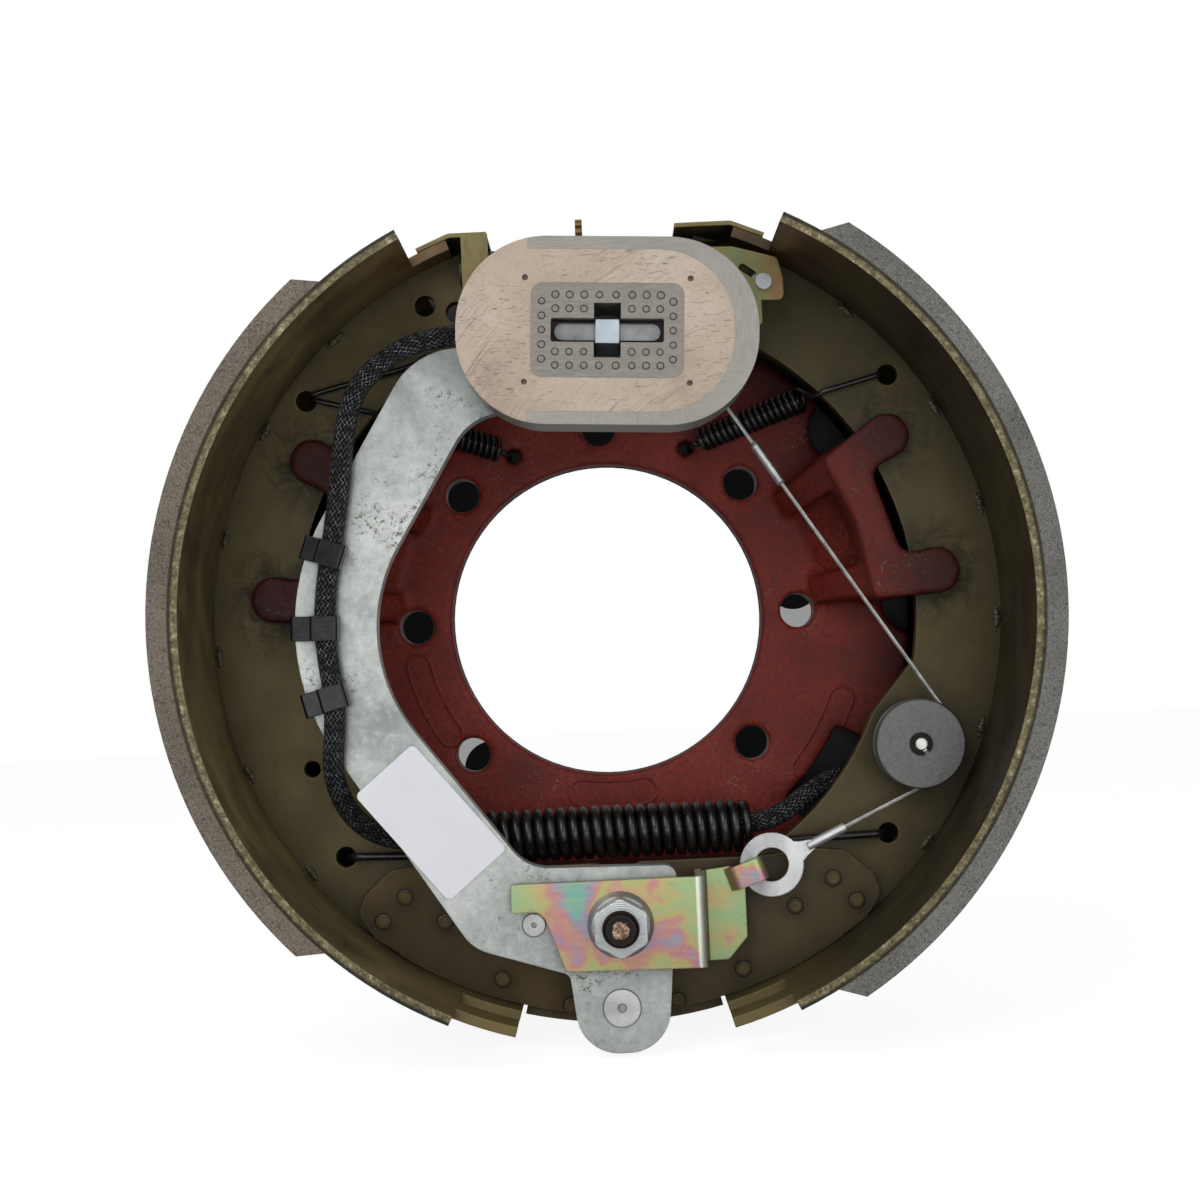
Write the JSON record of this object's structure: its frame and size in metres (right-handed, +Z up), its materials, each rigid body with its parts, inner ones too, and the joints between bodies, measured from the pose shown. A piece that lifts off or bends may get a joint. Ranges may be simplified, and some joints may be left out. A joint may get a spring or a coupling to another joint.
{
  "type": "electric drum brake",
  "caption": "Self-adjusting electric drum brake with two lined shoes, sliding magnet on a curved arm, adjuster, cable pulley, springs and a cast mounting plate.",
  "frame": {"origin": "on the bore axis in the plane of the mounting face, at the centre of the axle bolt pattern", "axes": "+Y along the bore towards the axle flange, +Z up as pictured, with the anchor post at the bottom and the adjuster at the top"},
  "size_m": [0.308, 0.141, 0.307],
  "materials": {
    "red_casting": "satin paint on rough casting",
    "black_sheet": "satin",
    "rubber_black": "matte",
    "bright_zinc": "satin",
    "turned_steel": "machined",
    "yellow_zinc": "iridescent",
    "olive_steel": "satin",
    "lining": "matte",
    "black_spring": "gloss",
    "braid": "woven",
    "lead": "matte",
    "sticker": "matte",
    "ground_steel": "ground",
    "friction_face": "ground",
    "pole": "ground",
    "spring_steel": "satin",
    "dark_zinc": "satin",
    "wire_rope": "stranded"
  },
  "bodies": {
    "mount": {"backing_plate": "red_casting", "dust_shield": "black_sheet", "grommet": "rubber_black", "anchor_post": "turned_steel", "anchor_nut": "bright_zinc", "anchor_bracket": "yellow_zinc", "cable_eyelet": "bright_zinc", "loom_lower": "braid", "return_spring": "black_spring", "retractor_left": "black_spring", "retractor_right": "black_spring"},
    "arm": {"actuating_arm": "bright_zinc", "arm_rivets": "bright_zinc", "label": "sticker", "loom_clips": "black_spring", "loom_upper": "braid", "magnet_post": "bright_zinc", "magnet_clip": "bright_zinc", "magnet_spring": "spring_steel"},
    "magnet": {"magnet_shell": "ground_steel", "magnet_friction": "friction_face", "magnet_core": "pole", "magnet_leads": "lead"},
    "primary_shoe": {"primary_table": "olive_steel", "primary_web": "olive_steel", "primary_lining": "lining", "primary_doubler": "olive_steel", "primary_guide": "olive_steel", "adjuster_sleeve": "dark_zinc", "adjuster_socket": "dark_zinc", "lever_spring": "black_spring"},
    "secondary_shoe": {"secondary_table": "olive_steel", "secondary_web": "olive_steel", "secondary_lining": "lining", "secondary_doubler": "olive_steel", "secondary_guide": "olive_steel", "lever_pin": "bright_zinc", "pulley_pin": "turned_steel", "pulley_ring": "black_spring", "brake_cable": "wire_rope", "cable_sleeve": "bright_zinc"},
    "star": {"star_screw": "dark_zinc"},
    "lever": {"adjuster_lever": "yellow_zinc"},
    "pulley": {"cable_pulley": "turned_steel"}
  },
  "joints": [
    {"name": "arm_pivot", "type": "hinge", "parent": "mount", "child": "arm", "pos_m": [0, -0.0765, -0.1073], "axis": [0, 1, 0], "range_deg": [-4, 4], "stiffness_Nm_per_rad": 60, "springref_deg": 0.4, "deforming": ["loom_lower"]},
    {"name": "magnet_slide", "type": "slide", "parent": "arm", "child": "magnet", "axis": [0, 1, 0], "range_m": [0, 0.004], "stiffness_N_per_m": 2500, "springref_m": -0.004, "deforming": ["magnet_leads", "magnet_spring"]},
    {"name": "primary_shoe_pivot", "type": "hinge", "parent": "mount", "child": "primary_shoe", "pos_m": [0, -0.045, -0.1073], "axis": [0, -1, 0], "range_deg": [0, 0.9], "stiffness_Nm_per_rad": 60, "springref_deg": -2.86, "deforming": ["return_spring", "retractor_left", "lever_spring"]},
    {"name": "secondary_shoe_pivot", "type": "hinge", "parent": "mount", "child": "secondary_shoe", "pos_m": [0, -0.045, -0.1073], "axis": [0, 1, 0], "range_deg": [0, 0.9], "stiffness_Nm_per_rad": 60, "springref_deg": -2.86, "deforming": ["return_spring", "retractor_right", "brake_cable"]},
    {"name": "star_spin", "type": "hinge", "parent": "primary_shoe", "child": "star", "pos_m": [-0.0039, -0.045, 0.1295], "axis": [1, 0, 0], "continuous": true},
    {"name": "lever_pivot", "type": "hinge", "parent": "secondary_shoe", "child": "lever", "pos_m": [0.0615, -0.0635, 0.1168], "axis": [0, -1, 0], "range_deg": [0, 6], "stiffness_Nm_per_rad": 3, "springref_deg": -6.88, "deforming": ["lever_spring", "brake_cable"]},
    {"name": "pulley_spin", "type": "hinge", "parent": "secondary_shoe", "child": "pulley", "pos_m": [0.1096, -0.0585, -0.0508], "axis": [0, 1, 0], "continuous": true}
  ]
}
